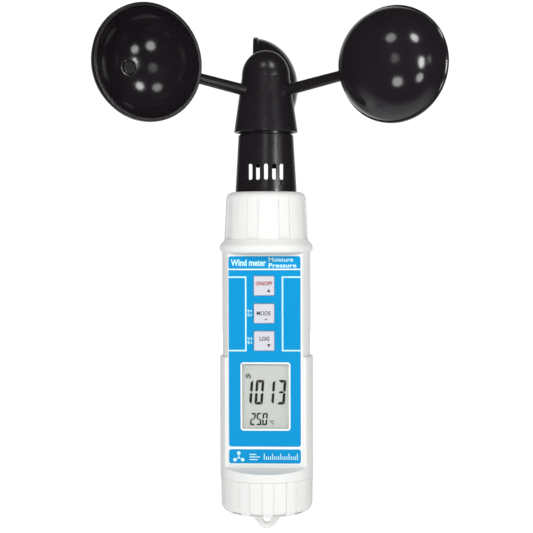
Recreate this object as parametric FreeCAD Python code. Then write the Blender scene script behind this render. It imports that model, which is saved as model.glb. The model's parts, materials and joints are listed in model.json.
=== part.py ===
import FreeCAD, Part
import os
from math import acos, cos, pi, radians, sin, sqrt, tan

# Hand-held cup anemometer: a round case with a display and three keys on a front flat, a screwed
# battery cap at the bottom, and a three-cup rotor on a slotted sensor neck at the top.
# Millimetres. +Z is up, the front faces -Y, and the origin is the centre of the strap hole.

# ---- heights along the case axis ----
CAP_BOTTOM = 4.0
CAP_JOINT = 19.3
CASE_SPLIT = 72.0
COLLAR_TOP = 122.7
NUT_TOP = 143.2
NECK_TOP = 167.9
HUB_BOTTOM = 169.2
HUB_SHOULDER = 193.1
HUB_TOP = 204.9

# ---- case ----
CASE_WALL = 2.0
LOWER_R = 20.4
UPPER_R = 19.25
CASE_BORE_R = 17.0                     # throat that the cells pass through
FLAT_Y = -10.5
FLAT_INNER_Y = FLAT_Y + CASE_WALL
FLAT_LEDGE_Z = 24.3
FLAT_LEDGE_DROP = 1.3
FLAT_TOP_Z = 117.1
COLLAR_R = 20.4
DECK_BOTTOM = 119.7
SPIGOT_R = 15.6
SPIGOT_TOP = 135.6
CABLE_HOLE_R = 4.0

# ---- battery cap and its screw thread ----
CAP_R = 20.3
CAP_LOW_R = 20.1
CAP_EDGE_R = 4.0
CAP_FLOOR_Z = 6.7
CAP_RIBS = 12
CAP_RIB_CENTRE = 4.0                   # degrees from the front, towards +X
CAP_FLUTE_WIDTH = 17.0                 # degrees
CAP_FLUTE_DEPTH = 0.4
THREAD_PITCH = 3.0
THREAD_BASE = 1.6
THREAD_CREST = 0.8
MALE_ROOT_R = 18.1
MALE_CREST_R = 18.6
FEMALE_CREST_R = 18.25
FEMALE_ROOT_R = 18.75
THREAD_LOW = 11.2
MALE_THREAD_TURNS = 2.0
FEMALE_THREAD_TURNS = 1.75
THREAD_BITE = 0.25                     # how far a ridge is sunk into its wall
CASE_NECK_BOTTOM = 9.8
LUG_THICKNESS = 3.5
LUG_TIP_R = 4.3
LUG_TIP_Z = -0.1
LUG_LEAN = 35.0                        # of its flanks from upright
STRAP_HOLE_R = 1.7
RIVET_R = 1.5
CONTACT_PLATE_Z = (8.0, 9.4)
CONTACT_T = 0.3
CONTACT_BUTTON_R = 2.0
LEAF_HALF_W = 2.1
KEYWAY_DEPTH = 0.6

# ---- collar nut ----
NUT_BOTTOM_R = 18.25
NUT_TOP_R = 17.4
NUT_EDGE_R = 3.0
NUT_RECESSES = 8
NUT_RECESS_CENTRE = 28.5
NUT_RECESS_WIDTH = 17.0
NUT_RECESS_DEPTH = 0.45
NUT_BORE_R = 15.8

# ---- overlay, display and keys ----
OVERLAY_T = 0.35
OVERLAY_HALF_W = 15.9
OVERLAY_Z = (25.6, 116.1)
WINDOW_W = 20.0
WINDOW_H = 28.0
WINDOW_Z = 55.1
LENS_MARGIN = 0.8                      # the lens and its pocket are this much larger all round
KEY_X = -0.5
KEY_Z = {"power": 102.8, "hold": 90.9, "record": 79.1}
KEY_W = 8.7
KEY_H = 8.3
KEY_CORNER_R = 0.45
KEY_GAP = 0.12
KEY_PROUD = 0.8
KEY_TRAVEL = 0.5

# ---- boards ----
BOARD_FRONT_Y = -6.6
BOARD_T = 1.0
BOARD_Z = (33.0, 114.5)
BOARD_HALF_W = 13.0
BOARD_SCREW_X = 10.8
BOARD_SCREW_Z = (37.0, 111.0)
BOARD_SCREW_R = 0.88
BOARD_BOSS_R = 2.2
CHIP_Z = 86.0
CHIP_HALF_W = 5.0
CHIP_PIN_PITCH = 0.8
CHIP_PINS = 11                         # on each of its four sides
PRESSURE_SENSOR_X = 7.5
PRESSURE_SENSOR_Z = 100.0
SWITCH_HALF_W = 3.0
PLUNGER_R = 1.75

# ---- AAA cells ----
CELL_R = 5.25
CELL_LENGTH = 44.5
CELL_BOTTOM = 12.5
CELL_X = 5.3
CELL_ROWS_Y = (-0.2, 10.4)
CELL_NUB_H = 1.0
CELL_GAP = 0.02                        # between a cell and the contact it rests on
CONTACT_ROOM = 2.6                     # from the cells' tops to the holder's plate

# ---- sensor neck ----
NECK_TURN = 2.5                        # degrees about +Z that the slots face away from the front
NECK_BASE_R = 13.3
NECK_TIP_R = 11.95
NECK_SHOULDER_R = 11.3                 # upper end of the cone, hidden inside the hub's skirt
NECK_SHOULDER_Z = 170.6
NECK_WALL = 1.5
NECK_FLANGE_Z = (136.1, 139.0)
NECK_CONE_Z = 144.7
SENSOR_BOARD_Z = (157.4, 158.6)
SLOT_X = (-6.7, -3.5, 0.0, 3.5, 6.7)
SLOT_W = 1.7
SLOT_BOTTOM = 148.2
FRONT_SLOT_TOP = 155.1
REAR_SLOT_TOP = 157.1
TOWER_R = 6.6
TOWER_TOP = 181.9

# ---- bearings: 3 x 10 x 4 mm ----
BEARING_OR = 5.0
BEARING_IR = 1.5
BEARING_W = 4.0
LOWER_BEARING_Z = 169.5
UPPER_BEARING_Z = 177.5
BALL_PITCH_R = 3.25
BALL_R = 0.79
BALLS = 7
RACE_R = 0.84

# ---- rotor ----
ROTOR_REST_TURN = 2.5                  # degrees about +Z that the free rotor rests at
HUB_SKIRT_R = 13.9
HUB_SHOULDER_R = 10.5
HUB_WALL = 1.6
HUB_CORE_Z = (182.6, 190.4)
ARM_ROOT_Z = 185.3                     # where an arm's centre line would meet the axis
CUP_CENTRE_R = 58.5
CUP_CENTRE_Z = 195.4
ARM_START = 4.5
ARM_R = (2.55, 2.25)
CUP_R = 23.9
CUP_DEPTH = 21.5
CUP_WALL = 1.0
CUP_LIP_R = 24.4
CUP_LIP_T = 2.5
CUP_RIM_AHEAD = 6.0                    # rim plane in front of the arm's centre line
ROTOR_PLACES = {"rear": 90.0, "left": 210.0, "right": 330.0}
CHOPPER_Z = 162.2
CHOPPER_R = 7.8
CHOPPER_T = 0.5
CHOPPER_SLOTS = 12
SHAFT_R = 1.5
SHAFT_Z = (160.0, 194.6)
ROTOR_NUT_CORNERS = 6.35
ROTOR_NUT_HEIGHT = 2.4

V = FreeCAD.Vector
ORIGIN = V(0, 0, 0)
X = V(1, 0, 0)
Y = V(0, 1, 0)
Z = V(0, 0, 1)


# ---------------------------------------------------------------- helpers

def wire(point, start, steps):
    """Closed wire: each step is an end point, or (through point, end point) for an arc."""
    edges = []
    here = start
    for step in steps + [start]:
        if isinstance(step[0], tuple):
            through, end = step
            edges.append(Part.Arc(point(here), point(through), point(end)).toShape())
        else:
            end = step
            edges.append(Part.makeLine(point(here), point(end)))
        here = end
    return Part.Wire(edges)


def turned(start, *steps, angle=360.0):
    """Solid of revolution about Z from an outline of (radius, z) points."""
    outline = wire(lambda p: V(p[0], 0, p[1]), start, list(steps))
    return Part.Face(outline).revolve(ORIGIN, Z, angle)


def plate(start, *steps, y=(0.0, 1.0)):
    """Flat plate from an outline of (x, z) points, thick from y[0] to y[1]."""
    outline = wire(lambda p: V(p[0], y[0], p[1]), start, list(steps))
    return Part.Face(outline).extrude(V(0, y[1] - y[0], 0))


def tube(outer, inner, low, high):
    return turned((inner, low), (outer, low), (outer, high), (inner, high))


def rod(radius, low, high, x=0.0, y=0.0):
    return Part.makeCylinder(radius, high - low, V(x, y, low), Z)


def pin_y(radius, y, x=0.0, z=0.0):
    """Cylinder along Y from y[0] to y[1]."""
    return Part.makeCylinder(radius, y[1] - y[0], V(x, y[0], z), Y)


def box(x, y, z):
    return Part.makeBox(x[1] - x[0], y[1] - y[0], z[1] - z[0], V(x[0], y[0], z[0]))


def ring(major, minor, z):
    return Part.makeTorus(major, minor, V(0, 0, z), Z)


def rounded_block(half_w, z, y, radius, x=0.0):
    """Block centred on x with its four edges along Y rounded."""
    block = box((x - half_w, x + half_w), y, z)
    upright = [e for e in block.Edges if abs(e.tangentAt(e.FirstParameter).y) > 0.99]
    return block.makeFillet(radius, upright)


def around(shape, places):
    """Copies of a shape turned about Z to each angle in degrees."""
    copies = []
    for angle in places:
        copy = shape.copy()
        copy.rotate(ORIGIN, Z, angle)
        copies.append(copy)
    return copies


def every(count, first=0.0):
    return [first + 360.0 * i / count for i in range(count)]


def from_front(shape, width):
    """Turn a shape swept from +X through width degrees so that it is centred on the front."""
    shape.rotate(ORIGIN, Z, -90.0 - width / 2)
    return shape


def single(shape):
    """The solid itself where a result wraps just one."""
    return shape.Solids[0] if len(shape.Solids) == 1 else shape


def fuse(first, *others):
    return single(first.multiFuse(list(others)).removeSplitter())


def cut(shape, *tools):
    return single(shape.cut(list(tools)))


def save(shape, node):
    solids = shape.Solids
    result = solids[0] if len(solids) == 1 else Part.makeCompound(solids)
    result.exportStep("parts/" + node + ".step")


def thread(root, crest, low, turns):
    """Right-hand helical ridge from the root radius to the crest radius."""
    bite = THREAD_BITE if crest > root else -THREAD_BITE
    path = Part.makeHelix(THREAD_PITCH, THREAD_PITCH * turns, root)
    half_base = THREAD_BASE / 2
    half_crest = THREAD_CREST / 2
    corners = [V(root - bite, 0, -half_base), V(root, 0, -half_base), V(crest, 0, -half_crest),
               V(crest, 0, half_crest), V(root, 0, half_base), V(root - bite, 0, half_base)]
    section = Part.makePolygon(corners + corners[:1])
    ridge = Part.Wire(path.Edges).makePipeShell([section], True, True)
    ridge.translate(V(0, 0, low))
    return ridge


# ---------------------------------------------------------------- case

def flat_cutter():
    """Space in front of the flat, with a bottom ledge that slopes down to the outside."""
    run = LOWER_R + FLAT_Y
    drop = FLAT_LEDGE_DROP * 2
    profile = [V(-30, FLAT_Y, FLAT_LEDGE_Z), V(-30, FLAT_Y - 2 * run, FLAT_LEDGE_Z - drop),
               V(-30, FLAT_Y - 2 * run, FLAT_TOP_Z), V(-30, FLAT_Y, FLAT_TOP_Z)]
    return Part.Face(Part.makePolygon(profile + profile[:1])).extrude(V(60, 0, 0))


def behind_flat(shape):
    """The part of a cavity that leaves a full wall behind the front flat."""
    return shape.common(box((-30, 30), (FLAT_INNER_Y, 30), (-10, 250)))


def board_boss(x, z):
    return pin_y(BOARD_BOSS_R, (FLAT_INNER_Y - 0.5, BOARD_FRONT_Y), x, z)


def screw_hole(x, z):
    return pin_y(BOARD_SCREW_R + 0.02, (FLAT_INNER_Y - 1.0, BOARD_FRONT_Y + 0.1), x, z)


def lower_case():
    top_edge = 0.35
    shell = turned((0, CAP_JOINT), (LOWER_R - 0.2, CAP_JOINT), (LOWER_R, CAP_JOINT + 0.2),
                   (LOWER_R, CASE_SPLIT - top_edge), (LOWER_R - top_edge, CASE_SPLIT), (0, CASE_SPLIT))
    shell = cut(shell, flat_cutter())
    shell = fuse(shell, rod(MALE_ROOT_R, CASE_NECK_BOTTOM, CAP_JOINT))
    cavity_floor = FLAT_LEDGE_Z - CASE_WALL
    throat = rod(CASE_BORE_R, 0, cavity_floor)
    cavity = behind_flat(rod(LOWER_R - CASE_WALL, cavity_floor, 80))
    shell = cut(shell, throat, cavity)
    keyway = box((-1.6, 1.6), (CASE_BORE_R - 1, CASE_BORE_R + KEYWAY_DEPTH), (0, 16.0))
    shell = cut(shell, keyway)
    low_z = BOARD_SCREW_Z[0]
    for side in (-1, 1):
        shell = fuse(shell, board_boss(side * BOARD_SCREW_X, low_z))
        shell = cut(shell, screw_hole(side * BOARD_SCREW_X, low_z))
    shell = cut(shell, display_pocket())
    return fuse(shell, thread(MALE_ROOT_R, MALE_CREST_R, THREAD_LOW, MALE_THREAD_TURNS))


def display_pocket():
    half_w = WINDOW_W / 2 + LENS_MARGIN
    half_h = WINDOW_H / 2 + LENS_MARGIN
    span = (WINDOW_Z - half_h, WINDOW_Z + half_h)
    return box((-half_w, half_w), (-30, FLAT_INNER_Y + 0.1), span)


def key_opening(z, y):
    half_w = KEY_W / 2 + KEY_GAP
    half_h = KEY_H / 2 + KEY_GAP
    return rounded_block(half_w, (z - half_h, z + half_h), y, KEY_CORNER_R + KEY_GAP, KEY_X)


def upper_case():
    bulge_low = ((COLLAR_R - 0.3, FLAT_TOP_Z + 0.9), (COLLAR_R, FLAT_TOP_Z + 2.0))
    bulge_high = ((COLLAR_R - 0.25, 120.2), (COLLAR_R - 0.9, 121.0))
    shell = turned((0, CASE_SPLIT), (UPPER_R, CASE_SPLIT), (UPPER_R, FLAT_TOP_Z), bulge_low,
                   bulge_high, (18.3, COLLAR_TOP), (0, COLLAR_TOP))
    shell = cut(shell, flat_cutter())
    shell = cut(shell, behind_flat(rod(UPPER_R - CASE_WALL, CASE_SPLIT - 1, DECK_BOTTOM)))
    spigot = tube(SPIGOT_R, SPIGOT_R - 2.0, COLLAR_TOP - 0.5, SPIGOT_TOP)
    joint = tube(LOWER_R - CASE_WALL - 0.05, 16.4, CASE_SPLIT - 8, CASE_SPLIT)
    joint = fuse(joint, tube(UPPER_R - CASE_WALL + 0.3, 16.4, CASE_SPLIT, CASE_SPLIT + 1.5))
    joint = joint.common(box((-30, 30), (-3, 30), (0, 200)))
    shell = fuse(shell, spigot, joint)
    high_z = BOARD_SCREW_Z[1]
    for side in (-1, 1):
        shell = fuse(shell, board_boss(side * BOARD_SCREW_X, high_z))
        shell = cut(shell, screw_hole(side * BOARD_SCREW_X, high_z))
    for z in KEY_Z.values():
        shell = cut(shell, key_opening(z, (-30, FLAT_INNER_Y + 0.1)))
    cable_hole = rod(CABLE_HOLE_R, DECK_BOTTOM - 1, COLLAR_TOP + 1)
    seal_groove = ring(SPIGOT_R - 1.0, 0.52, SPIGOT_TOP)
    return cut(shell, cable_hole, seal_groove)


def overlay():
    sheet_y = (FLAT_Y - OVERLAY_T, FLAT_Y)
    sheet = rounded_block(OVERLAY_HALF_W, OVERLAY_Z, sheet_y, 1.6)
    half_h = WINDOW_H / 2
    window = rounded_block(WINDOW_W / 2, (WINDOW_Z - half_h, WINDOW_Z + half_h),
                           (FLAT_Y - 1, FLAT_Y + 1), 0.5)
    sheet = cut(sheet, window)
    for z in KEY_Z.values():
        sheet = cut(sheet, key_opening(z, (FLAT_Y - 1, FLAT_Y + 1)))
    return sheet


# ---------------------------------------------------------------- battery cap

def cap_outline(inset):
    low = CAP_BOTTOM + inset
    corner = CAP_LOW_R - CAP_EDGE_R
    reach = CAP_EDGE_R - inset
    diagonal = reach * sqrt(0.5)
    corner_z = CAP_BOTTOM + CAP_EDGE_R
    return turned((0, low), (corner, low),
                  ((corner + diagonal, corner_z - diagonal), (corner + reach, corner_z)),
                  (CAP_R - inset, CAP_JOINT), (0, CAP_JOINT))


def strap_lug():
    """V-shaped tab whose leaning flanks meet a round tip."""
    lean = radians(LUG_LEAN)
    side = LUG_TIP_R * cos(lean)
    flank_z = LUG_TIP_Z - LUG_TIP_R * sin(lean)
    top = CAP_BOTTOM + 1.0
    half_top = side + (top - flank_z) * tan(lean)
    tab = plate((-half_top, top), (-side, flank_z), ((0, LUG_TIP_Z - LUG_TIP_R), (side, flank_z)),
                (half_top, top), y=(-LUG_THICKNESS / 2, LUG_THICKNESS / 2))
    rim = [e for e in tab.Edges if e.BoundBox.YLength < 0.01 and e.BoundBox.ZMin < CAP_BOTTOM
           and e.BoundBox.ZLength > 0.01]
    return tab.makeFillet(0.7, rim)


def battery_cap():
    flute_step = 360.0 / CAP_RIBS
    full = cap_outline(0.0)
    ring_gap = cut(full, cap_outline(CAP_FLUTE_DEPTH))
    wedge = Part.makeCylinder(30, 30, V(0, 0, CAP_BOTTOM + 1.0), Z, CAP_FLUTE_WIDTH)
    flutes = around(from_front(wedge, CAP_FLUTE_WIDTH), every(CAP_RIBS, CAP_RIB_CENTRE + flute_step / 2))
    body = cut(full, *[ring_gap.common(flute) for flute in flutes])
    hollow = turned((0, CAP_FLOOR_Z), (17.0, CAP_FLOOR_Z), (FEMALE_ROOT_R, 8.5),
                    (FEMALE_ROOT_R, CAP_JOINT + 1), (0, CAP_JOINT + 1))
    body = cut(fuse(body, strap_lug()), hollow)
    body = fuse(body, tube(3.2, RIVET_R, CAP_FLOOR_Z - 0.5, CONTACT_PLATE_Z[0] - 0.1))
    seal_seat = turned((17.5, CAP_JOINT - 1.0), (19.1, CAP_JOINT - 1.0), (19.1, CAP_JOINT + 1),
                       (17.5, CAP_JOINT + 1))
    rivet_hole = rod(RIVET_R, CAP_BOTTOM + 0.8, 9.0)
    strap_hole = pin_y(STRAP_HOLE_R, (-5, 5))
    body = cut(body, seal_seat, rivet_hole, strap_hole)
    thread_low = THREAD_LOW + THREAD_PITCH / 2
    return fuse(body, thread(FEMALE_ROOT_R, FEMALE_CREST_R, thread_low, FEMALE_THREAD_TURNS))


def cap_seal():
    return ring(18.6, 0.45, CAP_JOINT - 0.5)


def contact_plate():
    """Round plate with a tongue at the back that slides in the case's keyway."""
    disc = tube(16.2, RIVET_R + 0.08, *CONTACT_PLATE_Z)
    tongue = box((-1.5, 1.5), (15.4, CASE_BORE_R + KEYWAY_DEPTH - 0.15), (CONTACT_PLATE_Z[0], 13.6))
    return fuse(disc, tongue)


def cap_rivet():
    seat = CONTACT_PLATE_Z[1] + 0.05
    shank = rod(RIVET_R, CAP_BOTTOM + 0.8, seat + 0.05)
    head = turned((0, seat), (2.9, seat), (2.9, seat + 0.45), (2.3, seat + 0.95), (0, seat + 0.95))
    return fuse(shank, head)


def leaf_spring(x, y, low, high):
    """Bowed strip that presses on a cell's flat end: its middle is at the far height."""
    sense = 1 if high > low else -1
    sheet = CONTACT_T * sense
    foot = LEAF_HALF_W - 0.4
    strip = plate((-LEAF_HALF_W, low), ((0, high), (LEAF_HALF_W, low)), (foot, low),
                  ((0, high - sheet), (-foot, low)),
                  y=(-1.6, 1.6))
    strip.translate(V(x, y, 0))
    return strip


def bridge_strip(x, z):
    """Thin strip that joins the front and rear cells on one side."""
    front, rear = CELL_ROWS_Y
    return box((x - LEAF_HALF_W, x + LEAF_HALF_W), (front - LEAF_HALF_W, rear + LEAF_HALF_W), z)


def cap_contacts():
    """Bridge strip for each side's two cells, with a leaf spring and a raised button."""
    floor = CONTACT_PLATE_Z[1]
    strip_top = floor + CONTACT_T
    touch = CELL_BOTTOM - CELL_GAP
    front, rear = CELL_ROWS_Y
    bridges = []
    for x, spring_y, button_y in ((-CELL_X, rear, front), (CELL_X, front, rear)):
        strip = bridge_strip(x, (floor, strip_top))
        spring = leaf_spring(x, spring_y, strip_top - 0.1, touch)
        button = rod(CONTACT_BUTTON_R, strip_top - 0.1, touch, x, button_y)
        bridges.append(fuse(strip, spring, button))
    return Part.makeCompound(bridges)


# ---------------------------------------------------------------- cells and holder

def cell(x, y, nub_up):
    """AAA cell: jacket with rounded rims and a nub on the positive end."""
    low, high = CELL_BOTTOM, CELL_BOTTOM + CELL_LENGTH
    body_low = low if nub_up else low + CELL_NUB_H
    body_high = high - CELL_NUB_H if nub_up else high
    edge = 0.4
    body = turned((0, body_low), (CELL_R - edge, body_low), (CELL_R, body_low + edge),
                  (CELL_R, body_high - edge), (CELL_R - edge, body_high), (0, body_high))
    nub_z = (body_high - 0.1, high) if nub_up else (low, body_low + 0.1)
    shape = fuse(body, rod(1.9, *nub_z))
    shape.translate(V(x, y, 0))
    return shape


def cells():
    front, rear = CELL_ROWS_Y
    return {"battery_cell_1": cell(-CELL_X, front, False), "battery_cell_2": cell(CELL_X, front, True),
            "battery_cell_3": cell(-CELL_X, rear, True), "battery_cell_4": cell(CELL_X, rear, False)}


def battery_holder():
    """Centre post and three fins between the cells, under a top plate."""
    top = CELL_BOTTOM + CELL_LENGTH
    plate_z = (top + CONTACT_ROOM, top + CONTACT_ROOM + 1.6)
    middle = sum(CELL_ROWS_Y) / 2
    post = rod(2.0, 24.0, plate_z[1], 0, middle)
    post = fuse(post, rod(1.6, 14.0, 24.5, 0, middle))
    span = (24.0, plate_z[1])
    side_fins = [box(x, (middle - 1.3, middle + 1.3), span) for x in ((-16.9, -9.9), (9.9, 16.9))]
    rear_fin = box((-1.3, 1.3), (CELL_ROWS_Y[1] + 4.7, 18.0), span)
    disc = rod(18.0, *plate_z).common(box((-30, 30), (-5.3, 30), (0, 200)))
    return fuse(disc, post, rear_fin, *side_fins)


def top_contacts():
    """Bridge between the two front cells, and a terminal for each rear cell."""
    ceiling = CELL_BOTTOM + CELL_LENGTH + CONTACT_ROOM
    strip_z = (ceiling - CONTACT_T, ceiling)
    touch = CELL_BOTTOM + CELL_LENGTH + CELL_GAP
    front, rear = CELL_ROWS_Y
    bridge = box((-CELL_X - 2.9, CELL_X + 2.9), (front - 2.9, front + 2.2), strip_z)
    bridge = fuse(bridge, rod(CONTACT_BUTTON_R, touch, ceiling - 0.2, CELL_X, front),
                  leaf_spring(-CELL_X, front, ceiling - 0.2, touch))
    positive = fuse(box((-CELL_X - 2.9, -CELL_X + 2.9), (rear - 2.9, rear + 2.9), strip_z),
                    rod(CONTACT_BUTTON_R, touch, ceiling - 0.2, -CELL_X, rear))
    negative = fuse(box((CELL_X - 2.9, CELL_X + 2.9), (rear - 2.9, rear + 2.9), strip_z),
                    leaf_spring(CELL_X, rear, ceiling - 0.2, touch))
    return Part.makeCompound([bridge, positive, negative])


# ---------------------------------------------------------------- boards, display and keys

def main_board():
    board = box((-BOARD_HALF_W, BOARD_HALF_W), (BOARD_FRONT_Y, BOARD_FRONT_Y + BOARD_T), BOARD_Z)
    holes = [pin_y(1.1, (-20, 0), side * BOARD_SCREW_X, z) for side in (-1, 1) for z in BOARD_SCREW_Z]
    return cut(board, *holes)


def board_screws():
    rear = BOARD_FRONT_Y + BOARD_T
    screws = []
    for z in BOARD_SCREW_Z:
        for side in (-1, 1):
            x = side * BOARD_SCREW_X
            shank = pin_y(BOARD_SCREW_R, (FLAT_INNER_Y - 0.9, rear), x, z)
            head = pin_y(1.8, (rear, rear + 1.2), x, z)
            slot = box((x - 2, x + 2), (rear + 0.7, rear + 2), (z - 0.25, z + 0.25))
            screws.append(cut(fuse(shank, head), slot))
    return Part.makeCompound(screws)


def lcd_window():
    half_w = WINDOW_W / 2 + LENS_MARGIN - 0.05
    half_h = WINDOW_H / 2 + LENS_MARGIN - 0.05
    return rounded_block(half_w, (WINDOW_Z - half_h, WINDOW_Z + half_h), (FLAT_Y, FLAT_Y + 0.8), 0.3)


def lcd_glass():
    half_w = WINDOW_W / 2 + LENS_MARGIN - 0.1
    half_h = WINDOW_H / 2 + LENS_MARGIN - 0.1
    y = FLAT_Y + 1.0
    span = (WINDOW_Z - half_h, WINDOW_Z + half_h)
    front = box((-half_w, half_w), (y, y + 0.9), span)
    rear = box((-half_w, half_w), (y + 0.9, y + 1.9), (span[0] + 1.6, span[1] - 1.6))
    return fuse(front, rear)


def lcd_connector():
    """Two conductive rubber strips between the display's ledges and the board."""
    half_h = WINDOW_H / 2 + LENS_MARGIN - 0.2
    strips = []
    for z in (WINDOW_Z - half_h, WINDOW_Z + half_h - 1.3):
        strips.append(box((-9.5, 9.5), (FLAT_Y + 1.92, BOARD_FRONT_Y), (z, z + 1.3)))
    return Part.makeCompound(strips)


def controller_chip():
    rear = BOARD_FRONT_Y + BOARD_T
    half = CHIP_HALF_W
    reach = half + 1.2
    body = box((-half, half), (rear + 0.1, rear + 1.5), (CHIP_Z - half, CHIP_Z + half))
    pins = []
    for i in range(CHIP_PINS):
        offset = CHIP_PIN_PITCH * (i - (CHIP_PINS - 1) / 2)
        low, high = offset - 0.2, offset + 0.2
        pins.append(box((-reach, reach), (rear, rear + 0.3), (CHIP_Z + low, CHIP_Z + high)))
        pins.append(box((low, high), (rear, rear + 0.3), (CHIP_Z - reach, CHIP_Z + reach)))
    return fuse(body, *pins)


def pressure_sensor():
    rear = BOARD_FRONT_Y + BOARD_T
    x, z = PRESSURE_SENSOR_X, PRESSURE_SENSOR_Z
    can = fuse(pin_y(3.0, (rear, rear + 2.6), x, z), pin_y(3.5, (rear, rear + 0.5), x, z))
    return cut(can, pin_y(0.5, (rear + 1.6, rear + 3), x, z))


def key(z):
    """Key with a rounded front, and a flange that keeps it behind the case wall."""
    half_w = KEY_W / 2
    half_h = KEY_H / 2
    flange_y = FLAT_INNER_Y + 0.05
    span = (z - half_h, z + half_h)
    depth = (FLAT_Y - OVERLAY_T - KEY_PROUD, flange_y + 0.1)
    block = rounded_block(half_w, span, depth, KEY_CORNER_R, KEY_X)
    front = [e for e in block.Edges if e.BoundBox.YMax < FLAT_Y - OVERLAY_T - KEY_PROUD + 0.01]
    block = block.makeFillet(0.3, front)
    flange = rounded_block(half_w + 0.8, (span[0] - 0.8, span[1] + 0.8), (flange_y, flange_y + 0.5),
                           0.8, KEY_X)
    return fuse(block, flange)


def key_plunger(z):
    back = FLAT_INNER_Y + 0.55
    return pin_y(PLUNGER_R, (back, back + 0.8), KEY_X, z)


def key_switches():
    switches = []
    for z in KEY_Z.values():
        span = (z - SWITCH_HALF_W, z + SWITCH_HALF_W)
        body = rounded_block(SWITCH_HALF_W, span, (BOARD_FRONT_Y - 0.8, BOARD_FRONT_Y), 0.4, KEY_X)
        switches.append(cut(body, pin_y(PLUNGER_R + 0.1, (-10, 0), KEY_X, z)))
    return Part.makeCompound(switches)


# ---------------------------------------------------------------- collar nut and sensor neck

def collar_nut():
    edge = NUT_EDGE_R
    top_r = NUT_TOP_R
    corner = (top_r - edge, NUT_TOP - edge)
    diagonal = edge * sqrt(0.5)
    body = turned((0, COLLAR_TOP), (NUT_BOTTOM_R, COLLAR_TOP), (top_r, corner[1]),
                  ((corner[0] + diagonal, corner[1] + diagonal), (corner[0], NUT_TOP)), (0, NUT_TOP))
    depth = NUT_RECESS_DEPTH
    recess = turned((NUT_BOTTOM_R - depth, COLLAR_TOP + 0.4), (NUT_BOTTOM_R + 2, COLLAR_TOP + 0.4),
                    (NUT_BOTTOM_R + 2, corner[1] + 1.2), (top_r + 0.1, corner[1] + 1.2),
                    (top_r - depth, corner[1] - 1.2), angle=NUT_RECESS_WIDTH)
    places = every(NUT_RECESSES, NUT_RECESS_CENTRE)
    body = cut(body, *around(from_front(recess, NUT_RECESS_WIDTH), places))
    inner_ledge = NECK_FLANGE_Z[1] + 0.02
    bore = rod(NUT_BORE_R, COLLAR_TOP - 1, inner_ledge)
    mouth = rod(NECK_BASE_R + 0.15, inner_ledge - 1, NUT_TOP + 1)
    return cut(body, bore, mouth)


def neck_radius(z):
    """Outside radius of the neck's cone at a height."""
    share = (z - NECK_CONE_Z) / (NECK_TOP - NECK_CONE_Z)
    return NECK_BASE_R + (NECK_TIP_R - NECK_BASE_R) * share


def slot(x, top, y):
    """Upright slot with round ends."""
    half = SLOT_W / 2
    low_z, high_z = SLOT_BOTTOM + half, top - half
    return fuse(box((x - half, x + half), y, (low_z, high_z)), pin_y(half, y, x, low_z),
                pin_y(half, y, x, high_z))


def sensor_neck():
    flange_low, flange_high = NECK_FLANGE_Z
    seat = SENSOR_BOARD_Z[1]
    deck = NECK_TOP - 1.8
    outside = turned((0, flange_low), (15.4, flange_low), (15.4, flange_high), (NECK_BASE_R, flange_high),
                     (NECK_BASE_R, NECK_CONE_Z), (NECK_TIP_R, NECK_TOP), (NECK_SHOULDER_R, NECK_TOP + 0.3),
                     (NECK_SHOULDER_R, NECK_SHOULDER_Z), (TOWER_R, NECK_SHOULDER_Z), (TOWER_R, TOWER_TOP),
                     (0, TOWER_TOP))
    inside = turned((0, flange_low - 1), (NECK_BASE_R - NECK_WALL, flange_low - 1),
                    (NECK_BASE_R - NECK_WALL, NECK_CONE_Z), (neck_radius(seat) - NECK_WALL, seat),
                    (9.6, seat), (9.6, deck), (0, deck))
    lower_seat = rod(BEARING_OR, deck - 1, LOWER_BEARING_Z + BEARING_W)
    middle = rod(4.2, deck, TOWER_TOP + 1)
    upper_seat = rod(BEARING_OR, UPPER_BEARING_Z, TOWER_TOP + 1)
    neck = cut(outside, inside, lower_seat, middle, upper_seat)
    slots = [slot(x, FRONT_SLOT_TOP, (-20, 0)) for x in SLOT_X]
    slots += [slot(x, REAR_SLOT_TOP, (0, 20)) for x in SLOT_X]
    dimple_y = -sqrt(neck_radius(147.0) ** 2 - 6.7 ** 2)
    neck = cut(neck, *slots, pin_y(0.75, (dimple_y - 2, dimple_y + 0.3), 6.7, 146.8))
    return around(neck, [NECK_TURN])[0]


def neck_seal():
    return ring(SPIGOT_R - 1.0, 0.5, SPIGOT_TOP)


def sensor_board():
    board = rod(neck_radius(SENSOR_BOARD_Z[1]) - NECK_WALL - 0.1, *SENSOR_BOARD_Z)
    return cut(board, rod(0.6, 150, 160, 4.0, 0), rod(0.6, 150, 160, -4.0, 0))


def photo_interrupter():
    """Fork on the board whose gap the chopper disc turns through."""
    low = SENSOR_BOARD_Z[1]
    block = box((-2.3, 2.3), (4.9, 9.0), (low, low + 6.9))
    gap = box((-3, 3), (4.0, 8.4), (CHOPPER_Z - 0.7, CHOPPER_Z + 1.3))
    return cut(block, gap)


def humidity_sensor():
    top = SENSOR_BOARD_Z[0]
    body = box((2.0, 5.0), (-0.8, 0.8), (153.6, 156.4))
    legs = [rod(0.25, 156.3, top, x) for x in (2.6, 4.4)]
    return fuse(body, *legs)


def thermistor():
    top = SENSOR_BOARD_Z[0]
    bead = Part.makeSphere(1.3, V(-3.4, 0, 155.2))
    legs = [rod(0.2, 155.2, top, x) for x in (-4.0, -2.8)]
    return fuse(bead, *legs)


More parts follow.
